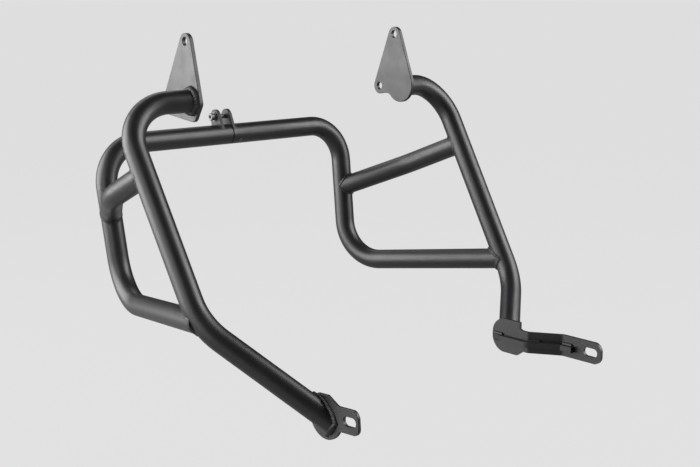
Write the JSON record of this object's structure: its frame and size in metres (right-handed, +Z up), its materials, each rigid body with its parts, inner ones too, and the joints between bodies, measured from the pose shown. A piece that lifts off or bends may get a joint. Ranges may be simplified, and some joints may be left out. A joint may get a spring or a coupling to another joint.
{
  "type": "motorcycle crash bars",
  "caption": "Bent steel tube crash bars for a motorcycle engine, in two halves clamped at the front, with drilled upper plates and slotted lower brackets.",
  "frame": {"origin": "on the axis of the top holes of the two upper frame plates, midway between the plates", "axes": "+X to the rider's right along the hole axis, +Y forward, +Z up as the guard stands in the picture"},
  "size_m": [0.5324, 0.504, 0.4309],
  "materials": {
    "frame_black": "satin black powder coat over steel",
    "weld_black": "powder coated weld beads",
    "zinc_steel": "bright zinc plated",
    "bare_steel": "plain drawn steel"
  },
  "bodies": {
    "root": {"clamp_bolt": "zinc_steel", "clamp_nut": "zinc_steel", "clamp_washers": "zinc_steel", "joint_sleeve": "bare_steel", "left_brace_front_weld": "weld_black", "left_brace_rear_weld": "weld_black", "left_brace_tube": "frame_black", "left_clamp_ear": "frame_black", "left_ear_weld": "weld_black", "left_hoop_tube": "frame_black", "left_hoop_weld": "weld_black", "left_lower_plate": "frame_black", "left_lower_plate_weld": "weld_black", "left_main_tube": "frame_black", "left_upper_plate": "frame_black", "left_upper_plate_weld": "weld_black", "right_brace_front_weld": "weld_black", "right_brace_rear_weld": "weld_black", "right_brace_tube": "frame_black", "right_bracket_rib": "frame_black", "right_clamp_ear": "frame_black", "right_ear_weld": "weld_black", "right_hoop_tube": "frame_black", "right_hoop_weld": "weld_black", "right_lower_bracket": "frame_black", "right_lower_plate_weld": "weld_black", "right_main_tube": "frame_black", "right_rib_welds": "weld_black", "right_upper_plate": "frame_black", "right_upper_plate_weld": "weld_black", "sleeve_plug_weld": "weld_black"}
  },
  "joints": []
}
